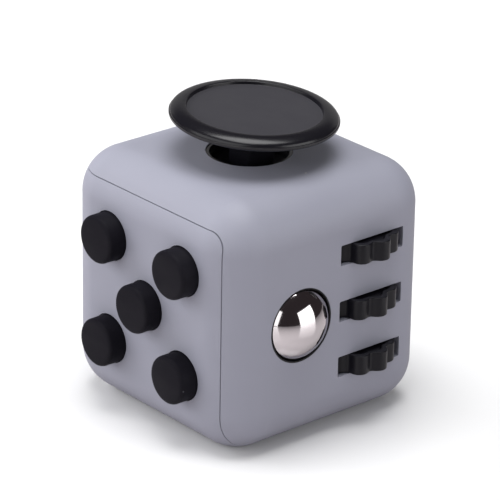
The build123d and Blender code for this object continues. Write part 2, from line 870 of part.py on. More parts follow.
with BuildPart() as flip_rocker:
    with BuildSketch(rocker_plane):
        with BuildLine():
            Polyline(
                (-rocker_bottom, -rocker_radius - cut_past),
                (rocker_end_height, -rocker_radius - cut_past),
                (rocker_middle_height, 0),
                (rocker_end_height, rocker_radius + cut_past),
                (-rocker_bottom, rocker_radius + cut_past),
                close=True,
            )
        make_face()
        Circle(rocker_radius, mode=Mode.INTERSECT)
        Circle(rocker_hub_radius)
        with Locations((-tail_depth / 2, 0)):
            Rectangle(tail_depth, 2 * (tail_bore_radius + tail_wall))
    extrude(amount=rocker_width / 2, both=True)
    with BuildSketch(rocker_plane):
        Circle(pin_radius + running_gap)
    extrude(amount=rocker_width, both=True, mode=Mode.SUBTRACT)
    outward = Plane(origin=rocker_plane.origin, x_dir=rocker_plane.y_dir, z_dir=rocker_plane.x_dir)
    face_edges = flip_rocker.edges().filter_by(
        lambda edge: outward.to_local_coords(edge.center()).Z > rocker_middle_height / 2
        and abs(outward.to_local_coords(edge.center()).X) > rocker_radius / 5
    )
    fillet(face_edges, rocker_edge_radius)
    bars(outward, -tail_depth, -tail_bore_top, tail_bore_radius, mode=Mode.SUBTRACT)
finished(flip_rocker, "flip_rocker")

plunger_radius = tail_bore_radius - sliding_gap
plunger_top = -plunger_reach + plunger_length

with BuildPart() as flip_plunger:
    bars(outward, -plunger_reach + plunger_radius, plunger_top, plunger_radius)
    with Locations(outward.offset(-plunger_reach + plunger_radius).location):
        Sphere(plunger_radius)
finished(flip_plunger, "flip_plunger")

with BuildPart() as flip_spring:
    tubes(
        outward,
        plunger_top + seat_gap,
        -tail_bore_top - seat_gap,
        plunger_radius,
        plunger_radius - spring_wire,
    )
finished(flip_spring, "flip_spring")

with BuildPart() as flip_pin:
    bars(cradle_plane, -cradle_half_width, cradle_half_width, pin_radius)
    chamfer(flip_pin.edges(), pin_radius / 5)
finished(flip_pin, "flip_pin")

with BuildPart() as flip_cradle:
    cradle_bottom = -cradle_floor_radius - cradle_wall
    with BuildSketch(cradle_plane):
        with Locations(((cradle_bottom + cradle_top) / 2, 0)):
            Rectangle(cradle_top - cradle_bottom, 2 * cradle_half_height)
    extrude(amount=cradle_half_width, both=True)
    with BuildSketch(cradle_plane):
        shelf = -rocker_bottom - rocker_radius * sin(rocker_tilt * pi / 180) - cradle_clearance
        cradle_mouth = cradle_top + cut_past
        with Locations(((shelf + cradle_mouth) / 2, 0)):
            Rectangle(cradle_mouth - shelf, 2 * (rocker_radius + cradle_clearance))
        Circle(cradle_floor_radius)
    extrude(amount=cradle_half_inside, both=True, mode=Mode.SUBTRACT)
    with BuildSketch(cradle_plane):
        Circle(pin_radius + screw_gap)
    extrude(amount=cradle_half_width + cut_past, both=True, mode=Mode.SUBTRACT)
    for spot in cradle_ear_spots:
        side = 1 if spot[1] > 0 else -1
        ear_root = side * (cradle_half_height - cradle_wall / 2)
        bars(flip_plane, cradle_ear_seat, cradle_ear_seat + ear_thickness, ear_radius, [spot])
        slab(
            flip_plane,
            cradle_ear_seat,
            cradle_ear_seat + ear_thickness,
            (-ear_radius, min(ear_root, spot[1])),
            (ear_radius, max(ear_root, spot[1])),
        )
    bars(
        flip_plane,
        cradle_ear_seat,
        cradle_ear_seat + ear_thickness,
        screw_hole_radius,
        cradle_ear_spots,
        Mode.SUBTRACT,
    )
finished(flip_cradle, "flip_cradle")

with BuildPart() as flip_cradle_screws:
    screws(flip_plane, cradle_ear_seat, inner_half - cradle_ear_seat, cradle_ear_spots)
finished(flip_cradle_screws, "flip_cradle_screws")

# ---- Spinning dial -------------------------------------------------------------------------------

with BuildPart() as spin_dial:
    bars(spin_plane, dial_back, dial_front, dial_radius)
    front_rim = spin_dial.edges().filter_by(GeomType.CIRCLE).sort_by(Axis.X)[0]
    fillet(front_rim, dial_rim_rounding)
    with BuildSketch(spin_plane.offset(dial_back)):
        with PolarLocations(dial_radius + dial_groove_radius - dial_groove_depth, dial_grooves):
            Circle(dial_groove_radius)
    extrude(amount=dial_front - dial_back, mode=Mode.SUBTRACT)
    dimple_sphere = (dimple_radius**2 + dimple_depth**2) / (2 * dimple_depth)
    with Locations(spin_plane.offset(dial_front + dimple_sphere - dimple_depth).location):
        with Locations((0, dimple_offset, 0)):
            Sphere(dimple_sphere, mode=Mode.SUBTRACT)
    bars(spin_plane, spindle_end, dial_back, spindle_radius)
    bars(spin_plane, spindle_end, half_side, screw_bore_radius, mode=Mode.SUBTRACT)
finished(spin_dial, "spin_dial")

with BuildPart() as spin_wave_washer:
    tubes(spin_plane, washer_end, boss_end - seat_gap, retainer_radius, spindle_radius + sliding_gap)
finished(spin_wave_washer, "spin_wave_washer")

with BuildPart() as spin_retainer:
    tubes(spin_plane, retainer_end, spindle_end, retainer_radius, screw_hole_radius)
finished(spin_retainer, "spin_retainer")

with BuildPart() as spin_screw:
    screws(spin_plane, retainer_end, inner_half - retainer_end, [(0, 0)])
finished(spin_screw, "spin_screw")
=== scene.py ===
"""The looks of a fidget cube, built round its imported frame.

Each control of the cube is a class whose fields hold its sizes in millimetres and whose methods build and
dress its pieces. A new piece is a surface worked out with numpy on a grid of two parameters.
"""

import json
import logging
import math
from dataclasses import dataclass, field
from enum import Enum

import bmesh
import bpy
import numpy as np
from mathutils import Matrix, Vector


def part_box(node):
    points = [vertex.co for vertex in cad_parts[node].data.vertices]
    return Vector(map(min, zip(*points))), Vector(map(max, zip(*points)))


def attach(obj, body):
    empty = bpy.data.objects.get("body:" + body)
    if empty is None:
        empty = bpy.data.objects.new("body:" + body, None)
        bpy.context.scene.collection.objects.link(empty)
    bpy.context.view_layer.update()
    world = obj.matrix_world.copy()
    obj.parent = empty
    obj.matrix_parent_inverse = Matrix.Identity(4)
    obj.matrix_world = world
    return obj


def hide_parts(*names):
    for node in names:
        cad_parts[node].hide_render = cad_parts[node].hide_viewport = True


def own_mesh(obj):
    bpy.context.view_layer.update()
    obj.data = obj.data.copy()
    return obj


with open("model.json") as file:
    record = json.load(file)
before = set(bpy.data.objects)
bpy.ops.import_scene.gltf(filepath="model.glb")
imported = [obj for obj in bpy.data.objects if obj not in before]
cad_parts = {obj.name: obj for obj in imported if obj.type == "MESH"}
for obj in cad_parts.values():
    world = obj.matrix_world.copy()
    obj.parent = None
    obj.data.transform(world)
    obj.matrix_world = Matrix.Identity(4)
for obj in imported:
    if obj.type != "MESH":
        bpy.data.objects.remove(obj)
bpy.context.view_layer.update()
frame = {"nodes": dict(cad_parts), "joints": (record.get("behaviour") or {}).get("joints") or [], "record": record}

MM = 0.001
FINE_STEPS = 192
MERGE_DISTANCE = 1e-6
LOG = logging.getLogger("fidget_cube")


# ---- Surfaces ------------------------------------------------------------------------------------


class Across(Enum):
    """The outward direction of a cube face that round pieces stand on."""

    CLICK = (0.0, -1.0, 0.0)
    ROLL = (1.0, 0.0, 0.0)


@dataclass(frozen=True)
class Stand:
    """A place and a direction that a turned or coiled piece is built along."""

    origin: tuple[float, float, float]
    direction: tuple[float, float, float]

    def place(self, local: np.ndarray) -> np.ndarray:
        """Carries points from the piece's own axes to the frame.

        Args:
            local: points (n, 3) in metres, with the third axis along the direction.

        Returns:
            The same points in the frame.
        """
        turn = Vector((0, 0, 1)).rotation_difference(Vector(self.direction)).to_matrix()
        return local @ np.array(turn).T + np.array(self.origin)


@dataclass(frozen=True)
class Corner:
    """A corner of a turned profile: its radius from the axis, its height and how far it is rounded."""

    radius: float
    height: float
    rounding: float = 0.0


def profile_through(corners: list[Corner], steps: int = 8) -> np.ndarray:
    """Runs a profile through corners, each one rounded by a quadratic curve.

    A rounded corner is the curve (1-t)^2 A + 2 t (1-t) C + t^2 B, where C is the corner and A and B lie on
    its two sides, the rounding away from it.

    Args:
        corners: the profile's corners in order, in millimetres.
        steps: points in each rounded corner.

    Returns:
        Points (n, 2) of radius and height, in millimetres.
    """
    spots = np.array([(c.radius, c.height) for c in corners])
    t = np.linspace(0.0, 1.0, steps)[:, None]
    runs = []
    for before, here, after, corner in zip(
        np.roll(spots, 1, axis=0), spots, np.roll(spots, -1, axis=0), corners
    ):
        if corner.rounding <= 0:
            runs.append(here[None, :])
            continue
        back = (before - here) / np.linalg.norm(before - here)
        ahead = (after - here) / np.linalg.norm(after - here)
        start, end = here + back * corner.rounding, here + ahead * corner.rounding
        runs.append((1 - t) ** 2 * start + 2 * t * (1 - t) * here + t**2 * end)
    return np.vstack(runs)


def grid_quads(rows: int, columns: int, closed_rows: bool) -> np.ndarray:
    """Faces of a grid whose columns always close on themselves.

    Args:
        rows: points along the first parameter.
        columns: points along the second, closed parameter.
        closed_rows: whether the last row joins the first.

    Returns:
        Vertex numbers (n, 4) of each face.
    """
    last = rows if closed_rows else rows - 1
    row, column = np.meshgrid(np.arange(last), np.arange(columns), indexing="ij")
    next_row, next_column = (row + 1) % rows, (column + 1) % columns
    quads = np.stack(
        [
            row * columns + column,
            row * columns + next_column,
            next_row * columns + next_column,
            next_row * columns + column,
        ],
        axis=-1,
    )
    return quads.reshape(-1, 4)


def turned_surface(profile: np.ndarray, segments: int = 128) -> tuple[np.ndarray, list]:
    """Turns a profile round its axis: a point is (r cos a, r sin a, h) for each r, h and angle a.

    Args:
        profile: points (n, 2) of radius and height in millimetres. It runs from pole to pole, or else it
            closes on itself as a ring.
        segments: steps round the axis.

    Returns:
        Points in metres and faces.
    """
    has_poles = profile[0, 0] < 1e-9 and profile[-1, 0] < 1e-9
    ring = profile[1:-1] if has_poles else profile
    angle = np.arange(segments) * 2 * math.pi / segments
    points = np.stack(
        [
            ring[:, :1] * np.cos(angle),
            ring[:, :1] * np.sin(angle),
            np.broadcast_to(ring[:, 1:], (len(ring), segments)),
        ],
        axis=-1,
    ).reshape(-1, 3)
    faces = grid_quads(len(ring), segments, not has_poles).tolist()
    if has_poles:
        first, last = len(points), len(points) + 1
        around = np.arange(segments)
        following = (around + 1) % segments
        base = (len(ring) - 1) * segments
        faces += np.stack([np.full(segments, first), following, around], axis=1).tolist()
        faces += np.stack([np.full(segments, last), base + around, base + following], axis=1).tolist()
        points = np.vstack([points, [(0, 0, profile[0, 1])], [(0, 0, profile[-1, 1])]])
    return points * MM, faces


def coil_surface(
    coil_radius: float, wire: float, low: float, high: float, turns: float, sides: int = 12
) -> tuple[np.ndarray, list]:
    """A coil spring: a round wire carried along a helix, its end turns closed up.

    The wire's centre is (R cos a, R sin a, z(a)), and z rises slowly in the first and last turn. Round it
    the wire's own circle lies in the plane of the outward direction and the upright.

    Args:
        coil_radius: from the axis to the wire's outside, in millimetres.
        wire: the wire's diameter in millimetres.
        low: the height where the spring starts, in millimetres.
        high: the height where it ends, in millimetres.
        turns: how many turns the wire makes.
        sides: points round the wire.

    Returns:
        Points in metres and faces.
    """
    steps_per_turn, closed_turn, closed_rise = 48, 0.9, 0.12
    rows = int(steps_per_turn * turns)
    share = np.linspace(0.0, 1.0, rows)
    angle = share * turns * 2 * math.pi
    rise = np.interp(
        share * turns,
        [0, closed_turn, turns - closed_turn, turns],
        [0.0, closed_rise, 1 - closed_rise, 1.0],
    )
    middle = coil_radius - wire / 2
    height = low + wire / 2 + rise * (high - low - wire)
    around = np.arange(sides) * 2 * math.pi / sides
    outward = middle + wire / 2 * np.cos(around)[None, :]
    points = np.stack(
        [
            outward * np.cos(angle)[:, None],
            outward * np.sin(angle)[:, None],
            height[:, None] + wire / 2 * np.sin(around)[None, :],
        ],
        axis=-1,
    ).reshape(-1, 3)
    faces = grid_quads(rows, sides, False)[:, ::-1].tolist()
    faces.append(list(range(sides)))
    faces.append(list(range((rows - 1) * sides, rows * sides))[::-1])
    return points * MM, faces


def mesh_piece(
    name: str, points: np.ndarray, faces: list, sharp_angle: float = 40.0
) -> bpy.types.Object:
    """Puts a surface into a mesh object at the origin, smooth but for its sharp edges.

    Args:
        name: the piece's name.
        points: points (n, 3) in metres, in the frame.
        faces: vertex numbers of each face, outward.
        sharp_angle: the angle in degrees past which an edge stays sharp.

    Returns:
        The new object.
    """
    mesh = bpy.data.meshes.new(name)
    mesh.from_pydata(np.asarray(points).tolist(), [], faces)
    mesh.update()
    piece = bpy.data.objects.new(name, mesh)
    bpy.context.scene.collection.objects.link(piece)
    smooth_by_angle(mesh, sharp_angle)
    return piece


def smooth_by_angle(mesh: bpy.types.Mesh, degrees: float) -> None:
    """Shades a mesh smooth and marks the edges sharp where its faces turn by more than an angle.

    Args:
        mesh: the mesh to shade.
        degrees: the least angle of a sharp edge.
    """
    mesh.shade_smooth()
    mesh.set_sharp_from_angle(angle=math.radians(degrees))


def smoothed_copy(node: str, name: str, sharp_angle: float = 24.0) -> bpy.types.Object:
    """A copy of a CAD node with its triangles joined, so that its curves shade smoothly.

    Args:
        node: the CAD node.
        name: the new piece's name.
        sharp_angle: the least angle in degrees of a sharp edge.

    Returns:
        The copy, which stands in for the node.
    """
    mesh = frame["nodes"][node].data.copy()
    mesh.name = name
    work = bmesh.new()
    work.from_mesh(mesh)
    bmesh.ops.remove_doubles(work, verts=work.verts, dist=MERGE_DISTANCE)
    work.to_mesh(mesh)
    work.free()
    mesh.materials.clear()
    if "custom_normal" in mesh.attributes:
        mesh.attributes.remove(mesh.attributes["custom_normal"])
    piece = bpy.data.objects.new(name, mesh)
    bpy.context.scene.collection.objects.link(piece)
    smooth_by_angle(mesh, sharp_angle)
    weighted = piece.modifiers.new("even_flats", "WEIGHTED_NORMAL")
    weighted.keep_sharp = True
    weighted.weight = 100
    return piece


def joint_place(name: str) -> tuple[float, float, float]:
    """Finds where a joint turns or slides.

    Args:
        name: the joint's name.

    Returns:
        Its position in the frame, in metres.
    """
    return tuple(next(j for j in frame["joints"] if j["name"] == name)["pos_m"])


# ---- Finishes ------------------------------------------------------------------------------------


class Sheet:
    """A node tree that shaders are laid out on."""

    def __init__(self, tree: bpy.types.NodeTree) -> None:
        """Keeps the tree that nodes are added to.

        Args:
            tree: the node tree of a material, a world or a group.
        """
        self.tree = tree

    def add(self, kind: str, **values: object) -> bpy.types.Node:
        """Adds a node.

        Args:
            kind: the node's type.
            values: properties of the node, by name.

        Returns:
            The node.
        """
        node = self.tree.nodes.new(kind)
        for key, value in values.items():
            setattr(node, key, value)
        return node

    def link(self, source: bpy.types.NodeSocket, target: bpy.types.NodeSocket) -> None:
        """Joins an output to an input.

        Args:
            source: the output.
            target: the input.
        """
        self.tree.links.new(source, target)


class Groups:
    """Shader groups that several finishes share, each one built once."""

    made: dict[str, bpy.types.NodeTree] = {}

    @classmethod
    def _start(cls, name: str, inputs: dict[str, float], outputs: list[str]) -> tuple[Sheet, object, object]:
        """Opens a new group with its sockets.

        Args:
            name: the group's name.
            inputs: each input's name and usual value.
            outputs: each output's name.

        Returns:
            The group's sheet, its input node and its output node.
        """
        tree = bpy.data.node_groups.new(name, "ShaderNodeTree")
        for label, value in inputs.items():
            socket = tree.interface.new_socket(label, in_out="INPUT", socket_type="NodeSocketFloat")
            socket.default_value = value
        for label in outputs:
            tree.interface.new_socket(label, in_out="OUTPUT", socket_type="NodeSocketFloat")
        cls.made[name] = tree
        sheet = Sheet(tree)
        return sheet, sheet.add("NodeGroupInput"), sheet.add("NodeGroupOutput")

    @classmethod
    def mould_grain(cls) -> bpy.types.NodeTree:
        """The fine skin that a mould leaves: small round pits over a slower waviness.

        Returns:
            The group, whose output is a height.
        """
        if "mould_grain" in cls.made:
            return cls.made["mould_grain"]
        sheet, inside, outside = cls._start("mould_grain", {"Scale": 5000.0, "Pits": 0.4}, ["Height"])
        place = sheet.add("ShaderNodeTexCoord")
        skin = sheet.add("ShaderNodeTexNoise")
        skin.inputs["Detail"].default_value = 3.0
        pits = sheet.add("ShaderNodeTexVoronoi", feature="SMOOTH_F1")
        mix = sheet.add("ShaderNodeMix")
        sheet.link(place.outputs["Object"], skin.inputs["Vector"])
        sheet.link(place.outputs["Object"], pits.inputs["Vector"])
        sheet.link(inside.outputs["Scale"], skin.inputs["Scale"])
        sheet.link(inside.outputs["Scale"], pits.inputs["Scale"])
        sheet.link(inside.outputs["Pits"], mix.inputs["Factor"])
        sheet.link(skin.outputs["Fac"], mix.inputs["A"])
        sheet.link(pits.outputs["Distance"], mix.inputs["B"])
        sheet.link(mix.outputs["Result"], outside.inputs["Height"])
        return cls.made["mould_grain"]

    @classmethod
    def handling(cls) -> bpy.types.NodeTree:
        """Where fingers have been: soft patches and thin smears.

        Returns:
            The group, whose output is a mask from 0 to 1.
        """
        if "handling" in cls.made:
            return cls.made["handling"]
        sheet, inside, outside = cls._start("handling", {"Scale": 120.0, "Smears": 0.35}, ["Mask"])
        place = sheet.add("ShaderNodeTexCoord")
        stretch = sheet.add("ShaderNodeMapping")
        stretch.inputs["Scale"].default_value = (1.0, 1.4, 3.2)
        stretch.inputs["Rotation"].default_value = (0.6, 0.2, 0.5)
        patches = sheet.add("ShaderNodeTexNoise")
        patches.inputs["Detail"].default_value = 4.0
        smears = sheet.add("ShaderNodeTexNoise")
        smears.inputs["Detail"].default_value = 8.0
        smears.inputs["Distortion"].default_value = 0.6
        mix = sheet.add("ShaderNodeMix")
        spread = sheet.add("ShaderNodeMapRange", interpolation_type="SMOOTHSTEP")
        spread.inputs["From Min"].default_value = 0.36
        spread.inputs["From Max"].default_value = 0.66
        sheet.link(place.outputs["Object"], patches.inputs["Vector"])
        sheet.link(place.outputs["Object"], stretch.inputs["Vector"])
        sheet.link(stretch.outputs["Vector"], smears.inputs["Vector"])
        sheet.link(inside.outputs["Scale"], patches.inputs["Scale"])
        sheet.link(inside.outputs["Scale"], smears.inputs["Scale"])
        sheet.link(inside.outputs["Smears"], mix.inputs["Factor"])
        sheet.link(patches.outputs["Fac"], mix.inputs["A"])
        sheet.link(smears.outputs["Fac"], mix.inputs["B"])
        sheet.link(mix.outputs["Result"], spread.inputs["Value"])
        sheet.link(spread.outputs["Result"], outside.inputs["Mask"])
        return cls.made["handling"]

    @classmethod
    def dust(cls) -> bpy.types.NodeTree:
        """Scattered specks of dust and lint: the cores of some cells of a cell pattern.

        Returns:
            The group, whose output is a mask of 0 or 1.
        """
        if "dust" in cls.made:
            return cls.made["dust"]
        sheet, inside, outside = cls._start("dust", {"Scale": 900.0, "Speck": 0.1, "Share": 0.12}, ["Mask"])
        place = sheet.add("ShaderNodeTexCoord")
        cells = sheet.add("ShaderNodeTexVoronoi")
        small = sheet.add("ShaderNodeMath", operation="LESS_THAN")
        chosen = sheet.add("ShaderNodeMath", operation="LESS_THAN")
        parts = sheet.add("ShaderNodeSeparateColor")
        both = sheet.add("ShaderNodeMath", operation="MULTIPLY")
        sheet.link(place.outputs["Object"], cells.inputs["Vector"])
        sheet.link(inside.outputs["Scale"], cells.inputs["Scale"])
        sheet.link(cells.outputs["Distance"], small.inputs[0])
        sheet.link(inside.outputs["Speck"], small.inputs[1])
        sheet.link(cells.outputs["Color"], parts.inputs["Color"])
        sheet.link(parts.outputs["Red"], chosen.inputs[0])
        sheet.link(inside.outputs["Share"], chosen.inputs[1])
        sheet.link(small.outputs["Value"], both.inputs[0])
        sheet.link(chosen.outputs["Value"], both.inputs[1])
        sheet.link(both.outputs["Value"], outside.inputs["Mask"])
        return cls.made["dust"]


@dataclass(frozen=True)
class Finish:
    """A moulded, rubbery or metal surface: two close colours, two roughnesses and a fine relief."""

    name: str
    colour: tuple[float, float, float]
    worn_colour: tuple[float, float, float]
    roughness: float
    worn_roughness: float
    grain_scale: float = 5000.0
    grain_depth: float = 0.006
    pits: float = 0.4
    metallic: float = 0.0
    specular: float = 0.5
    handling_scale: float = 120.0
    smears: float = 0.35
    dust_share: float = 0.05
    dust_colour: tuple[float, float, float] = (0.55, 0.53, 0.5)

    def material(self) -> bpy.types.Material:
        """Builds the material, or finds it if it is already made.

        Returns:
            The material.
        """
        if self.name in bpy.data.materials:
            return bpy.data.materials[self.name]
        material = bpy.data.materials.new(self.name)
        material.use_nodes = True
        sheet = Sheet(material.node_tree)
        shader = material.node_tree.nodes["Principled BSDF"]
        shader.inputs["Metallic"].default_value = self.metallic
        shader.inputs["Specular IOR Level"].default_value = self.specular
        marks = sheet.add("ShaderNodeGroup", node_tree=Groups.handling())
        marks.inputs["Scale"].default_value = self.handling_scale
        marks.inputs["Smears"].default_value = self.smears
        specks = sheet.add("ShaderNodeGroup", node_tree=Groups.dust())
        specks.inputs["Share"].default_value = self.dust_share
        colours = sheet.add("ShaderNodeMix", data_type="RGBA")
        colours.inputs["A"].default_value = (*self.colour, 1.0)
        colours.inputs["B"].default_value = (*self.worn_colour, 1.0)
        sheet.link(marks.outputs["Mask"], colours.inputs["Factor"])
        dusty = sheet.add("ShaderNodeMix", data_type="RGBA")
        dusty.inputs["B"].default_value = (*self.dust_colour, 1.0)
        sheet.link(specks.outputs["Mask"], dusty.inputs["Factor"])
        sheet.link(colours.outputs["Result"], dusty.inputs["A"])
        sheet.link(dusty.outputs["Result"], shader.inputs["Base Color"])
        shine = sheet.add("ShaderNodeMapRange")
        shine.inputs["To Min"].default_value = self.roughness
        shine.inputs["To Max"].default_value = self.worn_roughness
        sheet.link(marks.outputs["Mask"], shine.inputs["Value"])
        sheet.link(shine.outputs["Result"], shader.inputs["Roughness"])
        grain = sheet.add("ShaderNodeGroup", node_tree=Groups.mould_grain())
        grain.inputs["Scale"].default_value = self.grain_scale
        grain.inputs["Pits"].default_value = self.pits
        relief = sheet.add("ShaderNodeBump")
        relief.inputs["Distance"].default_value = self.grain_depth * MM
        relief.inputs["Strength"].default_value = 1.0
        sheet.link(grain.outputs["Height"], relief.inputs["Height"])
        sheet.link(relief.outputs["Normal"], shader.inputs["Normal"])
        return material


@dataclass(frozen=True)
class StudioPaper(Finish):
    """The floor's surface, which throws back less light than it shows, as if it ended close by."""

    thrown_back: tuple[float, float, float] = (0.63, 0.6, 0.61)

    def material(self) -> bpy.types.Material:
        """Builds the paper's material.

        Returns:
            The finish with a darker colour for the light that leaves it for the cube.
        """
        material = super().material()
        sheet = Sheet(material.node_tree)
        shader = material.node_tree.nodes["Principled BSDF"]
        shown = shader.inputs["Base Color"].links[0].from_socket
        path = sheet.add("ShaderNodeLightPath")
        mix = sheet.add("ShaderNodeMix", data_type="RGBA")
        mix.inputs["A"].default_value = (*self.thrown_back, 1.0)
        sheet.link(path.outputs["Is Camera Ray"], mix.inputs["Factor"])
        sheet.link(shown, mix.inputs["B"])
        sheet.link(mix.outputs["Result"], shader.inputs["Base Color"])
        return material


CASING = Finish(
    "casing_plastic", (0.27, 0.273, 0.329), (0.264, 0.267, 0.322), 0.55, 0.48,
    grain_scale=4200.0, grain_depth=0.004, handling_scale=90.0, specular=0.35, dust_share=0.004,
)
BUTTON_RUBBER = Finish(
    "button_rubber", (0.0062, 0.0056, 0.0088), (0.008, 0.0073, 0.0106), 0.62, 0.5,
    grain_scale=5200.0, grain_depth=0.01, specular=0.08, dust_share=0.02, dust_colour=(0.06, 0.06, 0.07),
)
CAP_RIM = Finish(
    "joystick_satin", (0.0055, 0.0052, 0.0078), (0.0075, 0.0072, 0.0098), 0.27, 0.22,
    grain_scale=5200.0, grain_depth=0.005, specular=0.36, dust_share=0.02, dust_colour=(0.07, 0.07, 0.08),
)
CAP_FLOOR = Finish(
    "joystick_matte", (0.032, 0.031, 0.037), (0.035, 0.034, 0.04), 0.72, 0.64,
    grain_scale=5600.0, grain_depth=0.008, specular=0.2, dust_share=0.01, dust_colour=(0.1, 0.1, 0.11),
)
WHEEL_PLASTIC = Finish(
    "wheel_plastic", (0.005, 0.0047, 0.0072), (0.0066, 0.0063, 0.009), 0.34, 0.28,
    grain_scale=4800.0, grain_depth=0.005, specular=0.2, dust_share=0.02, dust_colour=(0.06, 0.06, 0.07),
)
DARK_MOULDING = Finish(
    "dark_moulding", (0.012, 0.0115, 0.0135), (0.015, 0.0145, 0.0165), 0.6, 0.5, specular=0.2,
    dust_share=0.02, dust_colour=(0.1, 0.1, 0.1),
)
POLISHED_STEEL = Finish(
    "polished_steel", (0.6, 0.565, 0.575), (0.57, 0.54, 0.55), 0.05, 0.09,
    grain_scale=3000.0, grain_depth=0.0001, metallic=1.0, handling_scale=200.0, smears=0.6,
    dust_share=0.004,
)
TURNED_STEEL = Finish(
    "turned_steel", (0.56, 0.56, 0.57), (0.48, 0.48, 0.49), 0.28, 0.38,
    grain_scale=6000.0, grain_depth=0.002, metallic=1.0,
)
SPRING_STEEL = Finish(
    "spring_steel", (0.62, 0.61, 0.6), (0.5, 0.49, 0.48), 0.22, 0.34,
    grain_scale=6000.0, grain_depth=0.001, metallic=1.0,
)
NYLON = Finish(
    "nylon", (0.7, 0.69, 0.65), (0.66, 0.65, 0.6), 0.45, 0.4, grain_depth=0.004, dust_share=0.01,
)
MILKY_RUBBER = Finish(
    "milky_rubber", (0.62, 0.61, 0.57), (0.56, 0.55, 0.51), 0.55, 0.48, grain_depth=0.006,
)
FLOOR = StudioPaper(
    "studio_floor", (0.85, 0.85, 0.855), (0.84, 0.84, 0.845), 0.16, 0.13,
    grain_scale=900.0, grain_depth=0.001, handling_scale=6.0, specular=0.5, dust_share=0.0,
)
SLOT_FINISHES = {
    "casing": CASING,
    "button": BUTTON_RUBBER,
    "plate": DARK_MOULDING,
    "steel": TURNED_STEEL,
    "spring_steel": SPRING_STEEL,
    "soft_pad": MILKY_RUBBER,
    "joystick": CAP_RIM,
    "wheel": WHEEL_PLASTIC,
    "nylon": NYLON,
    "ball": POLISHED_STEEL,
    "rocker": WHEEL_PLASTIC,
    "dial": CAP_RIM,
}


def dress(piece: bpy.types.Object, *finishes: Finish) -> None:
    """Gives a piece its materials.

    Args:
        piece: the piece.
        finishes: its finishes, in the order of its material slots.
    """
    piece.data.materials.clear()
    for finish in finishes:
        piece.data.materials.append(finish.material())


def settle(piece: bpy.types.Object, body: str, slot: str, *nodes: str) -> None:
    """Hangs a piece on the empty of the body that it moves with and hides the CAD nodes that it stands for.

    Args:
        piece: the finished piece.
        body: the CAD body that it moves with.
        slot: not used.
        nodes: the CAD nodes that it replaces.
    """
    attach(piece, body)
    if nodes:
        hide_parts(*nodes)
    LOG.info("%s rides on %s", piece.name, body)


# ---- The cube's own pieces -----------------------------------------------------------------------


@dataclass
class Casing:
    """The two shells, and the finish of every piece that keeps its CAD shape."""

    shells: dict[str, str] = field(
        default_factory=lambda: {"lower_shell": "casing_lower", "upper_shell": "casing_upper"}
    )

    def build(self) -> None:
        """Smooths the two shells and dresses them."""
        for node, name in self.shells.items():
            shell = smoothed_copy(node, name)
            dress(shell, CASING)
            settle(shell, "casing", "casing", node)

    def dress_frame(self) -> None:
        """Gives every CAD node the finish of its slot."""
        slots = {entry["node"]: entry["material_slot"] for entry in frame["record"]["subparts"]}
        for name, node in frame["nodes"].items():
            dress(node, SLOT_FINISHES[slots[name]])


@dataclass
class PushButtons:
    """Five round buttons on the front face, each one turned from a single profile."""

    radius: float = 3.12
    proud: float = 2.5
    flange_radius: float = 3.7
    flange: float = 0.8
    flange_drop: float = 1.85
    pip_radius: float = 1.0
    pip: float = 0.35
    crown: float = 0.12
    edge: float = 0.55
    face_rings: int = 10
    squeezed: float = 0.1
    supports: tuple[tuple[str, str, Finish], ...] = (
        ("snap_dome_1", "spring_steel", SPRING_STEEL),
        ("silent_pad_1", "soft_pad", MILKY_RUBBER),
        ("snap_dome_2", "spring_steel", SPRING_STEEL),
        ("snap_dome_3", "spring_steel", SPRING_STEEL),
        ("silent_pad_2", "soft_pad", MILKY_RUBBER),
    )

    def profile(self) -> np.ndarray:
        """Draws half a button's section, from its pip's middle to its crowned face's middle.

        Returns:
            Points (n, 2) of radius and height above the casing, in millimetres.
        """
        foot = -self.flange_drop - self.flange
        body = profile_through(
            [
                Corner(0.0, foot - self.pip),
                Corner(self.pip_radius, foot - self.pip, 0.1),
                Corner(self.pip_radius, foot, 0.08),
                Corner(self.flange_radius, foot, 0.1),
                Corner(self.flange_radius, -self.flange_drop, 0.1),
                Corner(self.radius, -self.flange_drop, 0.08),
                Corner(self.radius, self.proud - self.crown, self.edge),
                Corner(0.0, self.proud - self.crown),
            ]
        )
        share = np.clip(body[:, 0] / self.radius, 0.0, 1.0)
        body[:, 1] += np.where(body[:, 1] > self.proud / 2, self.crown * (1 - share**2), 0.0)
        rings = np.linspace(self.radius - self.edge, 0.0, self.face_rings)[1:-1]
        face = np.stack([rings, self.proud - self.crown * (rings / self.radius) ** 2], axis=1)
        return np.vstack([body[:-1], face, [(0.0, self.proud)]])

    def build(self) -> None:
        """Makes and dresses the five buttons."""
        face = frame_front()
        for number, (node, slot, finish) in enumerate(self.supports, 1):
            low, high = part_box(f"click_button_{number}")
            middle = ((low.x + high.x) / 2, face, (low.z + high.z) / 2)
            points, faces = turned_surface(self.profile())
            stand = Stand(middle, Across.CLICK.value)
            button = mesh_piece(f"button_cap_{number}", stand.place(points), faces, 50.0)
            dress(button, BUTTON_RUBBER)
            settle(button, f"button_{number}", "button", f"click_button_{number}")
            self.support(number, node, slot, finish)

    def support(self, number: int, node: str, slot: str, finish: Finish) -> None:
        """Makes the dome or pad behind a button.

        Args:
            number: not used.
            node: the dome's or pad's CAD node.
            slot: its material slot.
            finish: its finish.
        """
        support = smoothed_copy(node, node + "_soft")
        dress(support, finish)
        settle(support, "casing", slot, node)
        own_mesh(support)


def frame_front() -> float:
    """Finds the casing's front face.

    Returns:
        How far forward it lies, in metres.
    """
    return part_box("lower_shell")[0].y


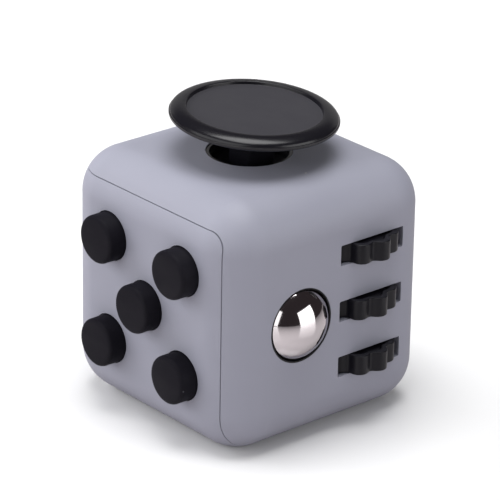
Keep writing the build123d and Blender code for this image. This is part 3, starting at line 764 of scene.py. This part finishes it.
@dataclass
class ThumbWheels:
    """Three lobed wheels on one axle."""

    lobes: int = 9
    mean_radius: float = 4.77
    wave: float = 0.38
    sharpness: float = 0.05
    thickness: float = 2.56
    bore: float = 1.05
    rim_rounding: float = 0.15
    hub_radius: float = 2.3
    hub_sink: float = 0.25
    rim_width: float = 0.7
    rim_foot: float = 1.0
    eased: float = 0.1
    bore_eased: float = 0.08
    lobe_spread: float = 1.5
    around: int = 360
    phases: dict[str, float] = field(default_factory=lambda: {"bottom": 1.78, "middle": 2.54, "top": 2.12})

    def surface(self, phase: float) -> tuple[np.ndarray, list]:
        """A lobed wheel as a closed grid.

        The section runs from the bore up one side, round the rim and down the other side. A point's radius
        is the section's own radius, stretched so that its rim meets the outline
        R(a) = mean - wave cos(n a + phase) - sharpness cos 2(n a + phase).

        Args:
            phase: where the first lobe starts, in radians.

        Returns:
            Points in metres and faces.
        """
        half = self.thickness / 2
        section = profile_through(
            [
                Corner(self.bore, -half),
                Corner(self.hub_radius, -half, self.bore_eased),
                Corner(self.hub_radius + self.hub_sink, -half + self.hub_sink, self.eased),
                Corner(self.mean_radius - self.rim_foot, -half + self.hub_sink, self.eased),
                Corner(self.mean_radius - self.rim_width, -half, self.eased),
                Corner(self.mean_radius, -half, self.rim_rounding),
                Corner(self.mean_radius, half, self.rim_rounding),
                Corner(self.mean_radius - self.rim_width, half, self.eased),
                Corner(self.mean_radius - self.rim_foot, half - self.hub_sink, self.eased),
                Corner(self.hub_radius + self.hub_sink, half - self.hub_sink, self.eased),
                Corner(self.hub_radius, half, self.bore_eased),
                Corner(self.bore, half),
            ]
        )
        angle = np.arange(self.around) * 2 * math.pi / self.around
        turn = self.lobes * angle + phase
        outline = self.mean_radius - self.wave * np.cos(turn) - self.sharpness * np.cos(2 * turn)
        reach = np.clip((section[:, :1] - self.hub_radius) / (self.mean_radius - self.hub_radius), 0.0, 1.0)
        radius = section[:, :1] + reach**self.lobe_spread * (outline - self.mean_radius)[None, :]
        points = np.stack(
            [
                radius * np.cos(angle),
                radius * np.sin(angle),
                np.broadcast_to(section[:, 1:], radius.shape),
            ],
            axis=-1,
        ).reshape(-1, 3)
        return points * MM, grid_quads(len(section), self.around, True).tolist()

    def build(self) -> None:
        """Makes and dresses the three wheels."""
        for level, phase in self.phases.items():
            node = f"wheel_{level}"
            low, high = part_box(node)
            across = joint_place(f"wheel_{level}_turn")
            points, faces = self.surface(phase)
            middle = np.array([across[0], across[1], (low.z + high.z) / 2])
            wheel = mesh_piece(f"thumb_wheel_{level}", points + middle, faces, 40.0)
            dress(wheel, WHEEL_PLASTIC)
            settle(wheel, node, "wheel", node)


@dataclass
class SteelBall:
    """The rolling ball, a thin dark ring of painted shade lining the top of its hole, and the spring behind its
    cup.
    """

    rings: int = 96
    # Sizes of the thin dark ring of painted shade in the top of the ball's hole.
    shade_ring_radius: float = 4.84
    shade_ring_top: float = 0.03
    shade_ring_foot: float = 0.44
    shade_ring_mouth: float = 4.66
    shade_ring_throat: float = 4.755
    shade_ring_eased: float = 0.05
    wire: float = 0.55
    turns: float = 4.0
    pressed_share: float = 0.64

    def build(self) -> None:
        """Makes the ball, the ring of painted shade in its hole and the spring."""
        self.ball()
        self.shade_ring()
        self.spring()

    def ball(self) -> None:
        """Makes the ball, as a half circle turned round its own axis."""
        low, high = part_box("ball")
        middle = tuple((low + high) / 2)
        radius = (high.z - low.z) / 2 / MM
        angle = np.linspace(-math.pi / 2, math.pi / 2, self.rings)
        profile = np.stack([radius * np.cos(angle), radius * np.sin(angle)], axis=1)
        profile[[0, -1], 0] = 0.0
        points, faces = turned_surface(profile, FINE_STEPS)
        ball = mesh_piece("steel_ball", Stand(middle, Across.ROLL.value).place(points), faces)
        dress(ball, POLISHED_STEEL)
        settle(ball, "ball", "ball", "ball")

    def shade_ring(self) -> None:
        """Makes a thin dark ring, turned round the hole's axis, that lines the top of the hole as painted shade
        for the dark gap round the ball.
        """
        low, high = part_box("ball")
        face = max(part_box(shell)[1].x for shell in ("lower_shell", "upper_shell"))
        edge = profile_through(
            [
                Corner(self.shade_ring_throat, -self.shade_ring_foot),
                Corner(self.shade_ring_radius, -self.shade_ring_foot),
                Corner(self.shade_ring_radius, -self.shade_ring_top),
                Corner(self.shade_ring_mouth, -self.shade_ring_top, self.shade_ring_eased),
            ]
        )
        points, faces = turned_surface(edge, FINE_STEPS)
        stand = Stand((face, (low.y + high.y) / 2, (low.z + high.z) / 2), Across.ROLL.value)
        shade_ring = mesh_piece("ball_hole_shade_ring", stand.place(points), faces, 40.0)
        # The ring's dark moulding is painted shade: the gap round the ball is dark only because it lies in shadow.
        dress(shade_ring, DARK_MOULDING)
        settle(shade_ring, "casing", "plate")

    def spring(self) -> None:
        """Makes the spring behind the ball's cup."""
        low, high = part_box("ball_spring")
        stand = Stand((low.x, (low.y + high.y) / 2, (low.z + high.z) / 2), Across.ROLL.value)
        outer = (high.z - low.z) / 2 / MM
        points, faces = coil_surface(outer, self.wire, 0.0, (high.x - low.x) / MM, self.turns)
        spring = mesh_piece("ball_coil", stand.place(points), faces)
        dress(spring, SPRING_STEEL)
        settle(spring, "casing", "spring_steel", "ball_spring")
        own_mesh(spring)


@dataclass
class Joystick:
    """The dished cap, its stem, the bowl under the opening and the centring spring.

    The rim's crown is a curve (x/a)^n + (y/b)^n = 1, where n is its fullness.
    """

    cap_radius: float = 10.65
    recess_radius: float = 8.55
    cap_height: float = 10.19
    rim_above: float = 0.62
    rim_below: float = 0.78
    recess: float = 0.42
    hub_radius: float = 3.4
    hub_drop: float = 2.3
    skirt_radius: float = 6.5
    skirt_step: float = 0.1
    crown: float = 1.75
    crown_drop: float = 0.9
    crown_fullness: float = 1.95
    crown_points: int = 14
    socket: float = 1.3
    stem_radius: float = 2.1
    stem_room: float = 0.05
    wall_slope: float = 0.08
    under_eased: float = 0.32
    skirt_eased: float = 0.8
    lean_to_x: float = 3.29
    lean_to_y: float = 1.5
    wire: float = 0.6
    turns: float = 3.5
    tilt_room: float = 0.5

    def direction(self) -> tuple[float, float, float]:
        """Works out how the stem leans.

        Returns:
            The way that it points at rest.
        """
        lean = Matrix.Rotation(math.radians(-self.lean_to_y), 3, "X")
        lean = lean @ Matrix.Rotation(math.radians(self.lean_to_x), 3, "Y")
        return tuple(lean @ Vector((0, 0, 1)))

    def cap_profile(self) -> np.ndarray:
        """Draws half the cap's section, from its socket round the rim to its top's middle.

        Returns:
            Points (n, 2) of radius and height above the pivot, in millimetres.
        """
        top = self.cap_height + self.rim_above
        under = self.cap_height - self.rim_below
        bottom = self.cap_height - self.hub_drop
        floor = top - self.recess
        shoulder = self.cap_radius - self.skirt_step
        bore = self.stem_radius + self.stem_room
        swell = np.linspace(0.0, math.pi / 2, self.crown_points)[::-1]
        power = 2 / self.crown_fullness
        crown = [
            Corner(
                shoulder - self.crown + self.crown * math.sin(turn) ** power,
                top - self.crown_drop + self.crown_drop * abs(math.cos(turn)) ** power,
            )
            for turn in swell
        ]
        return profile_through(
            [
                Corner(0.0, bottom + self.socket),
                Corner(bore, bottom + self.socket, 0.05),
                Corner(bore, bottom, 0.05),
                Corner(self.hub_radius, bottom, 0.2),
                Corner(self.skirt_radius, under, self.skirt_eased),
                Corner(self.cap_radius, under, self.under_eased),
                Corner(self.cap_radius, top - self.crown_drop, 0.04),
                *crown,
                Corner(self.recess_radius, top, 0.12),
                Corner(self.recess_radius - self.wall_slope, floor, 0.08),
                Corner(0.0, floor),
            ]
        )

    def build(self) -> None:
        """Makes the cap, the stem, the bowl and the spring."""
        pivot = joint_place("joystick_tilt_y")
        stand = Stand(pivot, self.direction())
        profile = self.cap_profile()
        points, faces = turned_surface(profile, FINE_STEPS)
        cap = mesh_piece("joystick_cap", stand.place(points), faces, 50.0)
        dress(cap, CAP_RIM, CAP_FLOOR)
        self.paint_recess(cap, stand)
        settle(cap, "joystick", "joystick", "glide_cap")
        for node, name, body in (
            ("glide_stem", "joystick_stem", "joystick"),
            ("glide_bowl", "joystick_bowl", "casing"),
        ):
            piece = smoothed_copy(node, name)
            dress(piece, CAP_RIM)
            settle(piece, body, "joystick", node)
        low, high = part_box("glide_spring")
        points, faces = coil_surface(
            (high.x - low.x) / 2 / MM, self.wire, low.z / MM, high.z / MM - self.tilt_room, self.turns
        )
        spring = mesh_piece("joystick_coil", points, faces)
        dress(spring, SPRING_STEEL)
        settle(spring, "casing", "spring_steel", "glide_spring")

    def paint_recess(self, cap: bpy.types.Object, stand: Stand) -> None:
        """Gives the faces of the recess floor the matte finish.

        Args:
            cap: the joystick's cap.
            stand: where the cap stands, to measure from its axis.
        """
        mesh = cap.data
        centres = np.zeros(len(mesh.polygons) * 3)
        mesh.polygons.foreach_get("center", centres)
        away = centres.reshape(-1, 3) - np.array(stand.origin)
        along = away @ np.array(stand.direction)
        across = np.linalg.norm(away - along[:, None] * np.array(stand.direction), axis=1)
        floor = self.cap_height + self.rim_above - self.recess
        matte = (across < (self.recess_radius - 0.1) * MM) & (along > (floor - 0.05) * MM)
        mesh.polygons.foreach_set("material_index", matte.astype(np.int32))


@dataclass
class BackAndSide:
    """The rocker on the back and the dial on the left, which keep their CAD shapes."""

    dial_sharp_angle: float = 30.0

    def build(self) -> None:
        """Smooths and dresses the rocker and the dial."""
        rocker = smoothed_copy("flip_rocker", "rocker_paddle")
        dress(rocker, WHEEL_PLASTIC)
        settle(rocker, "rocker", "rocker", "flip_rocker")
        dial = smoothed_copy("spin_dial", "spin_disc", self.dial_sharp_angle)
        dress(dial, CAP_RIM)
        settle(dial, "dial", "dial", "spin_dial")


# ---- Studio --------------------------------------------------------------------------------------


@dataclass(frozen=True)
class SoftBox:
    """A rectangular studio light aimed at the cube."""

    name: str
    place: tuple[float, float, float]
    size: tuple[float, float]
    power: float
    mirrored: bool = True
    lighting: bool = True

    def build(self, target: Vector) -> None:
        """Hangs the light and aims it.

        Args:
            target: the point that it shines at, in metres.
        """
        data = bpy.data.lights.new(self.name, "AREA")
        data.shape = "RECTANGLE"
        data.size, data.size_y = self.size
        data.energy = self.power
        light = bpy.data.objects.new(self.name, data)
        light.location = self.place
        light.visible_glossy = self.mirrored
        light.visible_diffuse = self.lighting
        light.rotation_euler = (target - Vector(self.place)).to_track_quat("-Z", "Y").to_euler()
        bpy.context.scene.collection.objects.link(light)


@dataclass
class Studio:
    """The floor, the lights, the surrounding and the camera."""

    azimuth: float = 49.153
    elevation: float = 23.734
    roll: float = 0.989
    distance: float = 426.547
    lens: float = 243.43
    shift: tuple[float, float] = (0.0056, 0.0436)
    target: tuple[float, float, float] = (0.0, 0.0, 16.5)
    floor_side: float = 6.0
    fill: tuple[float, float, float] = (0.12, 0.12, 0.122)
    dark: tuple[float, float, float] = (0.036, 0.029, 0.031)
    boxes: tuple[SoftBox, ...] = (
        SoftBox("top_box", (0.0, 0.0, 0.7), (0.5, 0.5), 5.1),
        SoftBox("front_box", (0.0, -0.548, 0.244), (0.9, 0.5), 2.6),
        SoftBox("right_box", (0.531, 0.225, 0.165), (0.48, 0.34), 1.35),
        SoftBox("left_fill", (-0.493, -0.23, 0.254), (0.5, 0.5), 3.0, mirrored=False),
        SoftBox("far_wall", (-0.74, 0.64, 0.25), (1.7, 0.5), 0.9, lighting=False),
    )

    def camera(self) -> None:
        """Sets up the camera at its viewing angle."""
        az, el, roll = (math.radians(a) for a in (self.azimuth, self.elevation, self.roll))
        back = Vector((math.sin(az) * math.cos(el), -math.cos(az) * math.cos(el), math.sin(el)))
        right = Vector((math.cos(az), math.sin(az), 0.0))
        up = back.cross(right)
        rolled_right = right * math.cos(roll) + up * math.sin(roll)
        rolled_up = up * math.cos(roll) - right * math.sin(roll)
        turn = Matrix((rolled_right, rolled_up, back)).transposed().to_4x4()
        data = bpy.data.cameras.new("camera")
        data.lens = self.lens
        data.sensor_width = 36.0
        data.sensor_fit = "HORIZONTAL"
        data.shift_x, data.shift_y = self.shift
        data.clip_start, data.clip_end = 0.01, 20.0
        data.dof.use_dof = False
        camera = bpy.data.objects.new("camera", data)
        place = Vector(self.target) * MM + back * self.distance * MM
        camera.matrix_world = Matrix.Translation(place) @ turn
        bpy.context.scene.collection.objects.link(camera)
        bpy.context.scene.camera = camera

    def floor(self) -> None:
        """Lays the plain pale floor."""
        half = self.floor_side / 2
        corners = np.array([(-half, -half, 0), (half, -half, 0), (half, half, 0), (-half, half, 0)])
        floor = mesh_piece("studio_floor", corners, [[0, 1, 2, 3]])
        dress(floor, FLOOR)

    def surrounding(self) -> None:
        """A surrounding that is white behind the scene, a dim fill on matt surfaces and black in mirrors."""
        world = bpy.data.worlds.new("studio")
        world.use_nodes = True
        sheet = Sheet(world.node_tree)
        background = world.node_tree.nodes["Background"]
        path = sheet.add("ShaderNodeLightPath")
        unlit = sheet.add("ShaderNodeMix", data_type="RGBA")
        unlit.inputs["A"].default_value = (*self.fill, 1.0)
        unlit.inputs["B"].default_value = (*self.dark, 1.0)
        seen = sheet.add("ShaderNodeMix", data_type="RGBA")
        seen.inputs["B"].default_value = (1.0, 1.0, 1.0, 1.0)
        sheet.link(path.outputs["Is Glossy Ray"], unlit.inputs["Factor"])
        sheet.link(path.outputs["Is Camera Ray"], seen.inputs["Factor"])
        sheet.link(unlit.outputs["Result"], seen.inputs["A"])
        sheet.link(seen.outputs["Result"], background.inputs["Color"])
        bpy.context.scene.world = world

    def build(self) -> None:
        """Sets up the whole studio."""
        self.camera()
        self.floor()
        self.surrounding()
        bpy.context.scene.view_settings.view_transform = "Standard"
        for box in self.boxes:
            box.build(Vector(self.target) * MM)


def main() -> None:
    """Builds the cube's looks and the studio."""
    logging.basicConfig(level=logging.INFO, format="%(message)s")
    casing = Casing()
    casing.dress_frame()
    casing.build()
    for part in (PushButtons(), ThumbWheels(), SteelBall(), Joystick(), BackAndSide()):
        part.build()
        LOG.info("%s is built", type(part).__name__)
    Studio().build()


if __name__ == "__main__":
    main()
